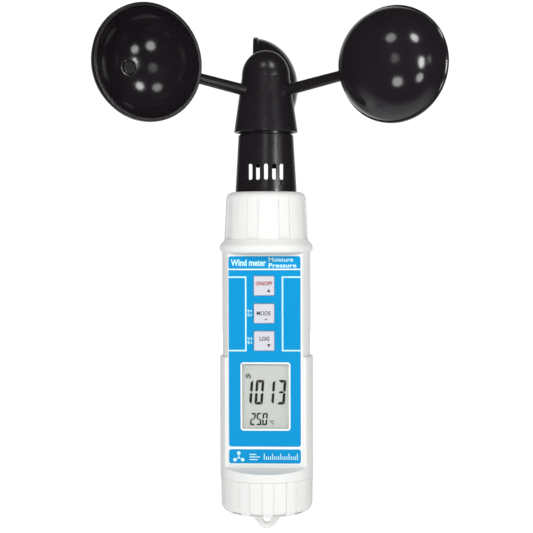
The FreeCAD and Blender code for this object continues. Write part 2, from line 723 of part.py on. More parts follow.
def sensor_cable():
    """Round cable from the sensor board down to a plug on the main board."""
    rear = BOARD_FRONT_Y + BOARD_T
    points = [V(8.6, 0, SENSOR_BOARD_Z[0]), V(8.7, 0, 150), V(8.0, 0, 142), V(4.0, 0.5, 130),
              V(0.8, 0, 121), V(0, -2.0, 114), V(0, rear + 1.7, 107)]
    path = Part.BSplineCurve()
    path.interpolate(Points=points, InitialTangent=V(0, 0, -1), FinalTangent=V(0, 0, -1))
    section = Part.Wire([Part.makeCircle(1.1, points[0], Z)])
    cable = Part.Wire([path.toShape()]).makePipeShell([section], True, True)
    plug = box((-4.0, 4.0), (rear, rear + 3.2), (101.0, 107.5))
    return fuse(plug, cable)


# ---------------------------------------------------------------- bearings

def race_groove(low):
    return ring(BALL_PITCH_R, RACE_R, low + BEARING_W / 2)


def bearing_outer(low):
    return cut(tube(BEARING_OR, 3.95, low, low + BEARING_W), race_groove(low))


def bearing_inner(low):
    return cut(tube(2.55, BEARING_IR, low, low + BEARING_W), race_groove(low))


def balls(low, radius):
    centre = V(BALL_PITCH_R, 0, low + BEARING_W / 2)
    return around(Part.makeSphere(radius, centre), every(BALLS))


def bearing_cage(low):
    middle = low + BEARING_W / 2
    band = tube(3.55, 2.95, middle - 1.15, middle + 1.15)
    pocket = Part.makeCylinder(BALL_R + 0.06, 3.0, V(2.0, 0, middle), X)
    return cut(band, *around(pocket, every(BALLS)))


def bearing_spacer():
    return tube(2.2, BEARING_IR, LOWER_BEARING_Z + BEARING_W, UPPER_BEARING_Z)


# ---------------------------------------------------------------- rotor

def arm_direction():
    rise = (CUP_CENTRE_Z - ARM_ROOT_Z) / CUP_CENTRE_R
    return V(1, 0, rise).normalize()


def arm_rod():
    """Tapered rod along +X that ends inside the cup's place."""
    along = arm_direction()
    start = V(0, 0, ARM_ROOT_Z) + along * (ARM_START / along.x)
    length = (CUP_CENTRE_R - CUP_R + 2.5) / along.x - ARM_START
    return Part.makeCone(ARM_R[0], ARM_R[1], length, start, along)


def in_place(shape):
    """Move a cup from its own frame, mouth up, to its place on the arm along +X."""
    shape.rotate(ORIGIN, X, -90)
    shape.translate(V(CUP_CENTRE_R, CUP_RIM_AHEAD, CUP_CENTRE_Z))
    return shape


def bowl_point(radius, depth, r):
    return V(r, 0, -depth * sqrt(1 - (r / radius) ** 2))


def bowl_arc(radius, depth, r_from, r_to, steps=10):
    """Smooth curve along a bowl's elliptical outline between two radii."""
    start, end = acos(r_from / radius), acos(r_to / radius)
    angles = [start + (end - start) * i / steps for i in range(steps + 1)]
    points = [V(radius * cos(t) if t < pi / 2 else 0, 0, -depth * sin(t)) for t in angles]
    sense = 1 if end > start else -1
    ends = [V(-radius * sin(t) * sense, 0, -depth * cos(t) * sense).normalize() for t in (start, end)]
    curve = Part.BSplineCurve()
    curve.interpolate(Points=points, InitialTangent=ends[0], FinalTangent=ends[1])
    return curve.toShape()


def cup_solid():
    """Bowl filled up to its rim plane."""
    bowl = bowl_arc(CUP_R, CUP_DEPTH, CUP_R, 0)
    rim, pole = V(CUP_R, 0, 0), V(0, 0, -CUP_DEPTH)
    outline = Part.Wire(Part.__sortEdges__([bowl, Part.makeLine(pole, ORIGIN), Part.makeLine(ORIGIN, rim)]))
    return in_place(Part.Face(outline).revolve(ORIGIN, Z, 360))


def cup():
    """Thin bowl with an outward lip round its rim and a small boss inside its pole."""
    inner_r, inner_depth = CUP_R - CUP_WALL, CUP_DEPTH - CUP_WALL
    boss_top = -inner_depth + 0.9
    lip_low = -CUP_LIP_T
    under_lip_r = CUP_R * sqrt(1 - (lip_low / CUP_DEPTH) ** 2)
    foot = bowl_point(inner_r, inner_depth, 3.9)
    lip = [V(inner_r, 0, 0), V(CUP_LIP_R - 0.4, 0, 0), V(CUP_LIP_R, 0, -0.4),
           V(CUP_LIP_R, 0, lip_low + 0.4), V(CUP_LIP_R - 0.4, 0, lip_low), V(under_lip_r, 0, lip_low)]
    edges = [Part.makeLine(a, b) for a, b in zip(lip, lip[1:])]
    edges.append(bowl_arc(CUP_R, CUP_DEPTH, under_lip_r, 0))
    edges.append(Part.makeLine(V(0, 0, -CUP_DEPTH), V(0, 0, boss_top)))
    edges.append(Part.makeLine(V(0, 0, boss_top), V(2.5, 0, boss_top)))
    edges.append(Part.Arc(V(2.5, 0, boss_top), V(3.0, 0, boss_top - 0.55), foot).toShape())
    edges.append(bowl_arc(inner_r, inner_depth, 3.9, inner_r))
    outline = Part.Wire(Part.__sortEdges__(edges))
    return in_place(Part.Face(outline).revolve(ORIGIN, Z, 360))


def arm():
    return cut(arm_rod(), cup_solid())


def hub_side_radius(z):
    share = (z - HUB_BOTTOM) / (HUB_SHOULDER - HUB_BOTTOM)
    return HUB_SKIRT_R + (HUB_SHOULDER_R - HUB_SKIRT_R) * share


def rotor_hub(arm_rods):
    """Conical skirt over the bearing tower, with a solid core that holds the arms and shaft."""
    low, core_low = HUB_BOTTOM, HUB_CORE_Z[0]
    outside = turned((0, low), (HUB_SKIRT_R - 0.3, low), (hub_side_radius(low + 0.3), low + 0.3),
                     (HUB_SHOULDER_R, HUB_SHOULDER), (0, HUB_SHOULDER))
    inside = turned((0, low - 1), (HUB_SKIRT_R - HUB_WALL, low - 1), (HUB_SKIRT_R - HUB_WALL, low),
                    (hub_side_radius(core_low) - HUB_WALL, core_low), (0, core_low))
    top_pocket = rod(8.7, HUB_CORE_Z[1], HUB_SHOULDER + 1)
    hub = cut(outside, inside, top_pocket, *arm_rods)
    hub = fuse(hub, tube(2.4, SHAFT_R, UPPER_BEARING_Z + BEARING_W + 0.01, core_low + 0.5))
    return cut(hub, rod(SHAFT_R, core_low - 3, HUB_SHOULDER))


def dome_edge(radius, height, low, exponent=2.1, steps=12):
    """Outline of a dome slightly squarer than an ellipse, from its base to its top."""
    points = []
    for i in range(steps + 1):
        angle = pi / 2 * i / steps
        r = radius * abs(cos(angle)) ** (2 / exponent)
        points.append(V(0 if i == steps else r, 0, low + height * sin(angle) ** (2 / exponent)))
    curve = Part.BSplineCurve()
    curve.interpolate(Points=points, InitialTangent=V(0, 0, 1), FinalTangent=V(-1, 0, 0))
    return curve.toShape()


def dome(radius, height, low):
    edge = dome_edge(radius, height, low)
    base, top = V(0, 0, low), V(0, 0, low + height)
    outline = Part.Wire([edge, Part.makeLine(top, base), Part.makeLine(base, V(radius, 0, low))])
    return Part.Face(outline).revolve(ORIGIN, Z, 360)


def hub_cap():
    """Domed cap that covers the shaft's nut, with a spigot in the hub's top pocket."""
    height = HUB_TOP - HUB_SHOULDER
    outside = dome(HUB_SHOULDER_R, height, HUB_SHOULDER)
    spigot = rod(8.65, HUB_SHOULDER - 2.5, HUB_SHOULDER + 0.5)
    inside = fuse(rod(7.2, HUB_SHOULDER - 3, HUB_SHOULDER + 0.2), dome(7.2, height - 2.5, HUB_SHOULDER))
    return cut(fuse(outside, spigot), inside)


def rotor_nut():
    low = HUB_CORE_Z[1]
    high = low + ROTOR_NUT_HEIGHT
    corner_r = ROTOR_NUT_CORNERS / 2
    corners = [V(corner_r * cos(radians(a)), corner_r * sin(radians(a)), low) for a in range(0, 420, 60)]
    nut = Part.Face(Part.makePolygon(corners)).extrude(V(0, 0, ROTOR_NUT_HEIGHT))
    cone = turned((0, low - 1), (corner_r, low - 1), (corner_r, high - 0.5), (2.6, high), (0, high))
    return cut(nut.common(cone), rod(SHAFT_R, low - 1, low + 5))


def rotor_shaft():
    low, high = SHAFT_Z
    clip_z = LOWER_BEARING_Z - 0.65
    shaft = turned((0, low), (SHAFT_R - 0.3, low), (SHAFT_R, low + 0.3), (SHAFT_R, high - 0.3),
                   (SHAFT_R - 0.3, high), (0, high))
    return cut(shaft, tube(2.0, 1.15, clip_z, clip_z + 0.6))


def shaft_clip():
    """Open ring in the shaft's groove, under the lower bearing."""
    low = LOWER_BEARING_Z - 0.63
    band = tube(2.9, 1.17, low, low + 0.56)
    return cut(band, box((0, 5), (-0.9, 0.9), (low - 1, low + 2)))


def chopper_disc():
    """Slotted disc that breaks the light beam as the rotor turns."""
    disc = fuse(tube(CHOPPER_R, SHAFT_R, CHOPPER_Z, CHOPPER_Z + CHOPPER_T),
                tube(3.0, SHAFT_R, CHOPPER_Z - 1.2, CHOPPER_Z + 1.8))
    notch = box((4.6, CHOPPER_R + 1), (-0.6, 0.6), (CHOPPER_Z - 1, CHOPPER_Z + 2))
    return cut(disc, *around(notch, every(CHOPPER_SLOTS)))


# ---------------------------------------------------------------- build

def build():
    os.makedirs("parts", exist_ok=True)
    places = {name: angle + ROTOR_REST_TURN for name, angle in ROTOR_PLACES.items()}
    save(lower_case(), "lower_case")
    save(upper_case(), "upper_case")
    save(overlay(), "front_overlay")
    save(collar_nut(), "collar_nut")
    save(sensor_neck(), "sensor_neck")
    save(neck_seal(), "neck_seal")
    save(sensor_board(), "sensor_board")
    save(photo_interrupter(), "photo_interrupter")
    save(humidity_sensor(), "humidity_sensor")
    save(thermistor(), "thermistor")
    save(sensor_cable(), "sensor_cable")
    save(main_board(), "main_board")
    save(board_screws(), "board_screws")
    save(controller_chip(), "controller_chip")
    save(pressure_sensor(), "pressure_sensor")
    save(lcd_window(), "lcd_window")
    save(lcd_glass(), "lcd_glass")
    save(lcd_connector(), "lcd_connector")
    save(key_switches(), "key_switches")
    for name, z in KEY_Z.items():
        save(key(z), name + "_key")
        save(key_plunger(z), name + "_plunger")
    for name, shape in cells().items():
        save(shape, name)
    save(battery_holder(), "battery_holder")
    save(top_contacts(), "top_contacts")
    save(battery_cap(), "battery_cap")
    save(cap_seal(), "cap_seal")
    save(cap_rivet(), "cap_rivet")
    save(contact_plate(), "contact_plate")
    save(cap_contacts(), "cap_contacts")
    for name, low in (("lower", LOWER_BEARING_Z), ("upper", UPPER_BEARING_Z)):
        save(bearing_outer(low), name + "_bearing_outer")
        save(bearing_inner(low), name + "_bearing_inner")
        save(bearing_cage(low), name + "_bearing_cage")
        save(Part.makeCompound(balls(low, BALL_R)), name + "_bearing_balls")
    save(bearing_spacer(), "bearing_spacer")
    save(rotor_shaft(), "rotor_shaft")
    save(shaft_clip(), "shaft_clip")
    save(chopper_disc(), "chopper_disc")
    save(rotor_nut(), "rotor_nut")
    save(hub_cap(), "hub_cap")
    save(rotor_hub(around(arm_rod(), places.values())), "rotor_hub")
    for name, angle in places.items():
        save(around(arm(), [angle])[0], "arm_" + name)
        save(around(cup(), [angle])[0], "cup_" + name)


build()
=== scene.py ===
import json
from math import cos, hypot, pi, radians, sin, tan

import bmesh
import bpy
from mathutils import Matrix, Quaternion, Vector

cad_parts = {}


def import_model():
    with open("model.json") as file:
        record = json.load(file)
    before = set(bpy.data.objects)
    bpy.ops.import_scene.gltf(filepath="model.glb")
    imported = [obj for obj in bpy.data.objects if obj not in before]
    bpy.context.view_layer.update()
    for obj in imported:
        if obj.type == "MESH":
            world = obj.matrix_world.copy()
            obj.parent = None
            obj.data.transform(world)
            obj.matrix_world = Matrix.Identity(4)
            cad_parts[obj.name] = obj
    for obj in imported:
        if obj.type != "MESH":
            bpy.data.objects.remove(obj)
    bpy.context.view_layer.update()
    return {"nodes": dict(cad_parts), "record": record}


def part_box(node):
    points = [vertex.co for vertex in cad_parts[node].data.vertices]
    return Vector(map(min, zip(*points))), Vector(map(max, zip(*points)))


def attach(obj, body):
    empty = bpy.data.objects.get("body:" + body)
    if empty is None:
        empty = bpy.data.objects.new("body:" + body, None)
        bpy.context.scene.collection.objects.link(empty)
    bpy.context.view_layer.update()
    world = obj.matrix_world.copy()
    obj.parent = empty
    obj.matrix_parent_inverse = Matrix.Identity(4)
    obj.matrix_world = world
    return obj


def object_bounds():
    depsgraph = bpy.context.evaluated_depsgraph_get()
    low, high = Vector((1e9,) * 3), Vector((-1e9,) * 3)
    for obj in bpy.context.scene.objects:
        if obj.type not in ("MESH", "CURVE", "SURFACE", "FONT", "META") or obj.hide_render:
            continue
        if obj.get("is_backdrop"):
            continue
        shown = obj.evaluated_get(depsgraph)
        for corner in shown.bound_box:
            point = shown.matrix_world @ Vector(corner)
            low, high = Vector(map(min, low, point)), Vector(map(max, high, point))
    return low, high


# Looks of the hand-held cup anemometer: materials, printed front label, key legends, display figures,
# camera, lamps and surroundings. Lengths in the label, key and display sections are millimetres; all the
# others are metres, or millimetres times MM.

MM = 0.001

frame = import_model()
RECORD = frame["record"]
COLOUR = {m["slot"]: m["base_color"] for m in RECORD["materials"]}
SLOT = {row["node"]: row["material_slot"] for row in RECORD["subparts"]}


def box_mm(node):
    """Lowest and highest corner of a CAD node in millimetres."""
    low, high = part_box(node)
    return low / MM, high / MM


# ---------------------------------------------------------------- shader helpers

class Nodes:
    """A node tree with short calls for adding nodes to it."""

    def __init__(self, tree):
        self.tree = tree

    def add(self, kind, settings=None, **inputs):
        made = self.tree.nodes.new(kind)
        for key, value in (settings or {}).items():
            setattr(made, key, value)
        for key, value in inputs.items():
            self.feed(made.inputs[key.replace("_", " ")], value)
        return made

    def feed(self, socket, value):
        if isinstance(value, bpy.types.NodeSocket):
            self.tree.links.new(value, socket)
        else:
            socket.default_value = value

    def feed_all(self, made, values):
        """Feed a node's inputs by their index."""
        for index, value in values.items():
            self.feed(made.inputs[index], value)
        return made

    def remap(self, value, low, high, to_low=0.0, to_high=1.0):
        values = dict(enumerate((value, low, high, to_low, to_high)))
        return self.feed_all(self.add("ShaderNodeMapRange"), values).outputs["Result"]

    def maths(self, operation, first, second=0.0):
        made = self.add("ShaderNodeMath", {"operation": operation})
        return self.feed_all(made, {0: first, 1: second}).outputs[0]

    def choose(self, share, first, second):
        """Number mixed from first (share 0) to second (share 1)."""
        return self.feed_all(self.add("ShaderNodeMix"), {0: share, 2: first, 3: second}).outputs[0]


class Shader(Nodes):
    """A new material's node tree."""

    def __init__(self, name):
        self.material = bpy.data.materials.new(name)
        self.material.use_nodes = True
        super().__init__(self.material.node_tree)
        self.tree.nodes.clear()
        self.place = self.add("ShaderNodeTexCoord").outputs["Object"]

    def noise(self, scale, detail=3.0, rough=0.5, stretch=(1, 1, 1)):
        """Noise value, scale in features per metre."""
        place = self.place
        if stretch != (1, 1, 1):
            place = self.add("ShaderNodeMapping", Vector=place, Scale=stretch).outputs["Vector"]
        return self.add("ShaderNodeTexNoise", Vector=place, Scale=scale, Detail=detail,
                        Roughness=rough).outputs["Fac"]

    def spots(self, scale, size):
        """1 inside small round specks, 0 outside; size is a share of the cell."""
        cells = self.add("ShaderNodeTexVoronoi", Vector=self.place, Scale=scale)
        return self.remap(cells.outputs["Distance"], size, size * 0.6)

    def blend(self, share, first, second):
        """Colour mixed from first (share 0) to second (share 1)."""
        made = self.add("ShaderNodeMix", {"data_type": "RGBA"})
        return self.feed_all(made, {0: share, 6: first, 7: second}).outputs[2]

    def rounded(self, radius):
        """Normal that softens sharp edges by a radius in metres."""
        return self.add("ShaderNodeBevel", {"samples": 4}, Radius=radius).outputs["Normal"]

    def bump(self, height, depth, normal=None, strength=1.0):
        made = self.add("ShaderNodeBump", Height=height, Distance=depth, Strength=strength)
        if normal is not None:
            self.feed(made.inputs["Normal"], normal)
        return made.outputs["Normal"]

    def edge(self, rounded_normal, gain):
        """Share of edge: where the softened normal leaves the true one."""
        true_normal = self.add("ShaderNodeNewGeometry").outputs["Normal"]
        dot = self.add("ShaderNodeVectorMath", {"operation": "DOT_PRODUCT"})
        self.feed_all(dot, {0: rounded_normal, 1: true_normal})
        return self.remap(dot.outputs["Value"], 1.0, 1.0 - gain)

    def crevice(self, distance):
        """1 deep in a groove, 0 in the open."""
        openness = self.add("ShaderNodeAmbientOcclusion", {"samples": 4}, Distance=distance).outputs["AO"]
        return self.remap(openness, 0.9, 0.3)

    def height_share(self, low, high):
        z = self.add("ShaderNodeSeparateXYZ", Vector=self.place).outputs["Z"]
        return self.remap(z, low, high)

    def finish(self, colour, rough, normal, metallic=0.0, **more):
        surface = self.add("ShaderNodeBsdfPrincipled", Base_Color=colour, Roughness=rough,
                           Normal=normal, Metallic=metallic, **more)
        self.add("ShaderNodeOutputMaterial", Surface=surface.outputs[0])
        return self.material


def shade(colour, factor):
    """Red, green, blue and alpha of a colour made paler or darker."""
    return (colour[0] * factor, colour[1] * factor, colour[2] * factor, 1.0)


# ---------------------------------------------------------------- materials

FILM_WHITE = (0.90, 0.93, 0.93)
BLACK = (0.0125, 0.0098, 0.0128)
INK_BLUE = (0.0, 0.305, 0.655)
INK_LINE = (0.64, 0.93, 0.97)
INK_RED = (0.38, 0.025, 0.018)
INK_DARK = (0.03, 0.03, 0.05)
CRYSTAL = (0.030, 0.030, 0.026)
CRYSTAL_FAINT = (0.055, 0.055, 0.045)
INK_BLUE_BLEED = 0.25
KEY_SHADE = 0.88                       # of the record's key colour


def white_plastic(name, colour, edge_radius=0.25 * MM):
    """Satin moulded white: slight flow streaks, fine spark grain, painted shade darkening the joints and
    grooves, and a painted highlight paling the edges.
    """
    s = Shader(name)
    streaks = s.noise(70, 4, 0.55, (1, 1, 0.25))
    body = s.blend(streaks, shade(colour, 0.985), shade(colour, 1.015))
    # painted shade: ambient occlusion darkens the colour in joints and grooves
    body = s.blend(s.maths("MULTIPLY", s.crevice(1.2 * MM), 0.45), body, shade(colour, 0.55))
    soft = s.rounded(edge_radius)
    # painted highlight: edges made paler than the plastic
    body = s.blend(s.maths("MULTIPLY", s.edge(soft, 0.25), 0.25), body, shade(colour, 1.08))
    grain = s.noise(5200, 2, 0.6)
    ripple = s.noise(110, 2, 0.5)
    normal = s.bump(grain, 0.012 * MM, s.bump(ripple, 0.10 * MM, soft, 0.5), 0.5)
    rough = s.remap(s.noise(400, 5, 0.6), 0.3, 0.7, 0.36, 0.46)
    return s.finish(body, rough, normal, Specular_IOR_Level=0.42)


def black_gloss(name, colour, rough_low, rough_high):
    """Black moulding: faint sink waves, handling haze, dust specks and paler edges."""
    s = Shader(name)
    cloud = s.noise(90, 3, 0.5)
    body = s.blend(cloud, shade(colour, 0.8), shade(colour, 1.25))
    soft = s.rounded(0.3 * MM)
    body = s.blend(s.maths("MULTIPLY", s.edge(soft, 0.3), 0.35), body, shade(colour, 4.0))
    body = s.blend(s.maths("MULTIPLY", s.spots(900, 0.10), 0.10), body, (0.35, 0.35, 0.36, 1))
    waves = s.noise(38, 2, 0.45)
    grain = s.noise(2600, 3, 0.6)
    normal = s.bump(grain, 0.004 * MM, s.bump(waves, 0.35 * MM, soft, 0.35), 0.35)
    haze = s.remap(s.noise(160, 6, 0.62), 0.35, 0.75, rough_low, rough_high)
    scuffs = s.noise(700, 4, 0.7, (1, 1, 0.08))
    rough = s.maths("ADD", haze, s.remap(scuffs, 0.62, 0.8, 0.0, 0.10))
    return s.finish(body, rough, normal, Specular_IOR_Level=0.5)


def printed_film(name, colour, rough_low, rough_high, bleed=1.0):
    """Screen ink on polyester film: slight ink mottling under a fine velvet texture. bleed is how much of
    the ink's tint is left in the light that it throws on its neighbours."""
    s = Shader(name)
    mottle = s.noise(900, 4, 0.6)
    wide = s.noise(45, 2, 0.5)
    body = s.blend(mottle, shade(colour, 0.96), shade(colour, 1.04))
    body = s.blend(s.maths("MULTIPLY", wide, 0.5), body, shade(colour, 1.05))
    if bleed < 1.0:
        grey = shade((1, 1, 1), sum(colour) / 3)
        thrown = s.add("ShaderNodeLightPath").outputs["Is Diffuse Ray"]
        body = s.blend(s.maths("MULTIPLY", thrown, 1.0 - bleed), body, grey)
    velvet = s.noise(6500, 2, 0.5)
    normal = s.bump(velvet, 0.010 * MM, s.rounded(0.08 * MM), 0.4)
    rough = s.remap(mottle, 0.3, 0.7, rough_low, rough_high)
    return s.finish(body, rough, normal, Specular_IOR_Level=0.2)


def soft_rubber(name, colour):
    s = Shader(name)
    cloud = s.noise(600, 5, 0.6)
    body = s.blend(cloud, shade(colour, 0.7), shade(colour, 1.5))
    normal = s.bump(s.noise(3000, 4, 0.6), 0.02 * MM, s.rounded(0.1 * MM), 0.6)
    return s.finish(body, s.remap(cloud, 0.3, 0.7, 0.62, 0.8), normal)


def moulded(name, colour, rough_low, rough_high, grain_scale=3500, grain_depth=0.015 * MM):
    """Plain moulded plastic with colour drift, grain and worn edges."""
    s = Shader(name)
    drift = s.noise(250, 4, 0.55)
    body = s.blend(drift, shade(colour, 0.88), shade(colour, 1.12))
    soft = s.rounded(0.12 * MM)
    body = s.blend(s.maths("MULTIPLY", s.edge(soft, 0.3), 0.3), body, shade(colour, 1.6))
    normal = s.bump(s.noise(grain_scale, 3, 0.6), grain_depth, soft, 0.5)
    return s.finish(body, s.remap(drift, 0.3, 0.7, rough_low, rough_high), normal)


def metal(name, colour, rough_low, rough_high, brush=(1, 1, 1)):
    """Worn metal: brushed or ground lines, stained patches, brighter edges."""
    s = Shader(name)
    stain = s.noise(500, 5, 0.6)
    lines = s.noise(4000, 3, 0.7, brush)
    body = s.blend(stain, shade(colour, 0.85), shade(colour, 1.05))
    soft = s.rounded(0.06 * MM)
    body = s.blend(s.maths("MULTIPLY", s.edge(soft, 0.3), 0.4), body, shade(colour, 1.25))
    normal = s.bump(lines, 0.006 * MM, soft, 0.5)
    return s.finish(body, s.remap(lines, 0.3, 0.7, rough_low, rough_high), normal, 1.0)


def circuit_board(name, colour):
    """Green solder mask over paler copper tracks, with tinned pads."""
    s = Shader(name)
    tracks = s.add("ShaderNodeTexBrick", {"offset": 0.37}, Vector=s.place, Scale=900.0, Mortar_Size=0.12)
    pads = s.spots(420, 0.16)
    mask = s.noise(400, 3, 0.5)
    body = s.blend(mask, shade(colour, 0.85), shade(colour, 1.1))
    body = s.blend(s.maths("MULTIPLY", tracks.outputs["Fac"], 0.5), body, shade(colour, 1.9))
    body = s.blend(pads, body, (0.62, 0.60, 0.55, 1))
    relief = s.maths("ADD", tracks.outputs["Fac"], pads)
    normal = s.bump(relief, 0.03 * MM, s.rounded(0.05 * MM), 0.6)
    return s.finish(body, s.remap(mask, 0.3, 0.7, 0.28, 0.4), normal)


def battery_jacket(name, colour):
    """Shrunk printed jacket: dark, with a copper band at one end and bare steel end discs."""
    s = Shader(name)
    low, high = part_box("battery_cell_1")
    length = high.z - low.z
    share = s.height_share(low.z, high.z)
    band = s.maths("GREATER_THAN", share, 0.74)
    from_middle = s.maths("ABSOLUTE", s.maths("SUBTRACT", share, 0.5))
    ends = s.maths("GREATER_THAN", from_middle, 0.5 - 0.8 * MM / length)
    wrap = s.noise(300, 4, 0.55)
    body = s.blend(wrap, shade(colour, 0.8), shade(colour, 1.2))
    body = s.blend(band, body, (0.42, 0.20, 0.08, 1))
    body = s.blend(ends, body, (0.6, 0.6, 0.6, 1))
    normal = s.bump(wrap, 0.03 * MM, s.rounded(0.1 * MM), 0.5)
    return s.finish(body, s.remap(wrap, 0.3, 0.7, 0.28, 0.42), normal, 0.55)


def clear_lens(name):
    """Clear acrylic: a faint reflection over what is behind it, with fine wiping marks."""
    s = Shader(name)
    wipes = s.noise(900, 4, 0.7, (1, 1, 0.15))
    rough = s.remap(wipes, 0.45, 0.8, 0.03, 0.16)
    soft = s.rounded(0.1 * MM)
    clear = s.add("ShaderNodeBsdfTransparent", Color=(1, 1, 1, 1))
    mirror = s.add("ShaderNodeBsdfGlossy", Roughness=rough, Normal=soft, Color=(1, 1, 1, 1))
    fresnel = s.add("ShaderNodeFresnel", IOR=1.49, Normal=soft)
    share = s.maths("MINIMUM", fresnel.outputs["Fac"], 0.5)
    both = s.feed_all(s.add("ShaderNodeMixShader", Fac=share), {1: clear.outputs[0], 2: mirror.outputs[0]})
    s.add("ShaderNodeOutputMaterial", Surface=both.outputs[0])
    return s.material


def display_cell(name, colour):
    """Reflective liquid crystal cell: grey-green with a very fine diffuser grain and faint clouds."""
    s = Shader(name)
    grain = s.noise(4200, 3, 0.6)
    wide = s.noise(60, 2, 0.5)
    body = s.blend(grain, shade(colour, 0.955), shade(colour, 1.045))
    body = s.blend(s.maths("MULTIPLY", wide, 0.35), body, shade(colour, 0.93))
    normal = s.bump(grain, 0.008 * MM, s.rounded(0.08 * MM), 0.4)
    return s.finish(body, s.remap(grain, 0.3, 0.7, 0.42, 0.55), normal)


def build_materials():
    c = COLOUR
    return {
        "case_plastic": white_plastic("white_abs", c["case_plastic"]),
        "black_plastic": black_gloss("black_satin", BLACK, 0.24, 0.31),
        "cup_plastic": black_gloss("black_gloss", BLACK, 0.13, 0.18),
        "overlay_film": printed_film("film_white", FILM_WHITE, 0.34, 0.44),
        "seal_rubber": soft_rubber("rubber", c["seal_rubber"]),
        "circuit_board": circuit_board("solder_mask", c["circuit_board"]),
        "component_black": moulded("component_moulding", c["component_black"], 0.4, 0.6),
        "cable_jacket": soft_rubber("cable_jacket", c["cable_jacket"]),
        "plain_steel": metal("plated_steel", c["plain_steel"], 0.25, 0.42),
        "bearing_steel": metal("ground_steel", c["bearing_steel"], 0.08, 0.2, (1, 1, 6)),
        "window_clear": clear_lens("clear_acrylic"),
        "display": display_cell("display_cell", c["display"]),
        "key_plastic": white_plastic("key_abs", shade(c["key_plastic"], KEY_SHADE), 0.3 * MM),
        "cell_jacket": battery_jacket("battery_jacket", c["cell_jacket"]),
        "inner_plastic": moulded("inner_abs", c["inner_plastic"], 0.35, 0.5),
        "contact_metal": metal("nickel_spring", c["contact_metal"], 0.15, 0.3, (1, 5, 1)),
        "cage_plastic": moulded("natural_nylon", c["cage_plastic"], 0.4, 0.5),
        "spacer_brass": metal("turned_brass", c["spacer_brass"], 0.16, 0.3, (1, 1, 6)),
    }


# ---------------------------------------------------------------- flat printed pieces

INK_T = 0.02                           # thickness of a printed layer
INK_SINK = 0.01                        # how far a layer reaches into the one below
CORNER_STEPS = 6
LETTER_SIZE = 10.0                     # before it is fitted to its place
MERGE_GAP = 0.0005


def rounded_rect(low_x, high_x, low_z, high_z, radius=0.0, round_end="both"):
    """Closed outline of a rectangle. Its corners at the top, the bottom or both ends are round."""
    corners = [(high_x, high_z, "top"), (low_x, high_z, "top"),
               (low_x, low_z, "bottom"), (high_x, low_z, "bottom")]
    points = []
    for quarter, (x, z, end) in enumerate(corners):
        if radius == 0.0 or round_end not in ("both", end):
            points.append((x, z))
            continue
        centre_x = x + radius if x == low_x else x - radius
        centre_z = z + radius if z == low_z else z - radius
        for i in range(CORNER_STEPS + 1):
            angle = pi / 2 * (quarter + i / CORNER_STEPS)
            points.append((centre_x + radius * cos(angle), centre_z + radius * sin(angle)))
    return points


def disc(x, y, radius, steps=32):
    turns = [2 * pi * i / steps for i in range(steps)]
    return [(x + radius * cos(turn), y + radius * sin(turn)) for turn in turns]


def bar(start, end, width):
    """Straight stroke with square ends."""
    length = hypot(end[0] - start[0], end[1] - start[1])
    side_x = -(end[1] - start[1]) / length * width / 2
    side_z = (end[0] - start[0]) / length * width / 2
    return [(start[0] + side_x, start[1] + side_z), (start[0] - side_x, start[1] - side_z),
            (end[0] - side_x, end[1] - side_z), (end[0] + side_x, end[1] + side_z)]


def outline_curve(loops):
    """Flat curve that is filled between nested closed loops."""
    curve = bpy.data.curves.new("outline", "CURVE")
    curve.dimensions = "2D"
    curve.fill_mode = "BOTH"
    for loop in loops:
        spline = curve.splines.new("POLY")
        spline.points.add(len(loop) - 1)
        for point, (x, z) in zip(spline.points, loop):
            point.co = (x, z, 0, 1)
        spline.use_cyclic_u = True
    return curve


def text_curve(words, weight):
    """Curve of words whose strokes are thickened by weight."""
    curve = bpy.data.curves.new("words", "FONT")
    curve.body = words
    curve.size = LETTER_SIZE
    curve.offset = weight
    curve.resolution_u = 4
    return curve


def to_mesh(curve, name):
    """Mesh of a filled flat curve, one unit thick."""
    curve.extrude = 0.5
    holder = bpy.data.objects.new(name, curve)
    bpy.context.scene.collection.objects.link(holder)
    graph = bpy.context.evaluated_depsgraph_get()
    mesh = bpy.data.meshes.new_from_object(holder.evaluated_get(graph))
    bpy.data.objects.remove(holder)
    bpy.data.curves.remove(curve)
    clean = bmesh.new()
    clean.from_mesh(mesh)
    bmesh.ops.remove_doubles(clean, verts=clean.verts, dist=MERGE_GAP)
    clean.to_mesh(mesh)
    clean.free()
    mesh.name = name
    return mesh


def lay(mesh, name, base_y, material, body, fit=None, lift=0.0):
    """Stand a flat mesh up on the plane y = base_y. fit is the (low x, high x, low z, high z) that it is
    stretched to, and lift raises it onto another layer."""
    xs = [v.co.x for v in mesh.vertices]
    ys = [v.co.y for v in mesh.vertices]
    if fit:
        scale_x = (fit[1] - fit[0]) / (max(xs) - min(xs))
        scale_z = (fit[3] - fit[2]) / (max(ys) - min(ys))
        move_x = fit[0] - min(xs) * scale_x
        move_z = fit[2] - min(ys) * scale_z
    else:
        scale_x, scale_z, move_x, move_z = 1, 1, 0, 0
    front = base_y - INK_T - lift
    back = base_y + INK_SINK - lift
    for v in mesh.vertices:
        y = front if v.co.z > 0 else back
        v.co = Vector((v.co.x * scale_x + move_x, y, v.co.y * scale_z + move_z)) * MM
    mesh.materials.clear()
    mesh.materials.append(material)
    piece = bpy.data.objects.new(name, mesh)
    bpy.context.scene.collection.objects.link(piece)
    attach(piece, body)
    return piece


def printed(name, loops, base_y, material, body="housing", lift=0.0):
    mesh = to_mesh(outline_curve(loops), name)
    return lay(mesh, name, base_y, material, body, None, lift)


def lettered(name, words, fit, base_y, material, body="housing", weight=0.0, lift=0.0):
    mesh = to_mesh(text_curve(words, weight), name)
    return lay(mesh, name, base_y, material, body, fit, lift)


# ---------------------------------------------------------------- front label

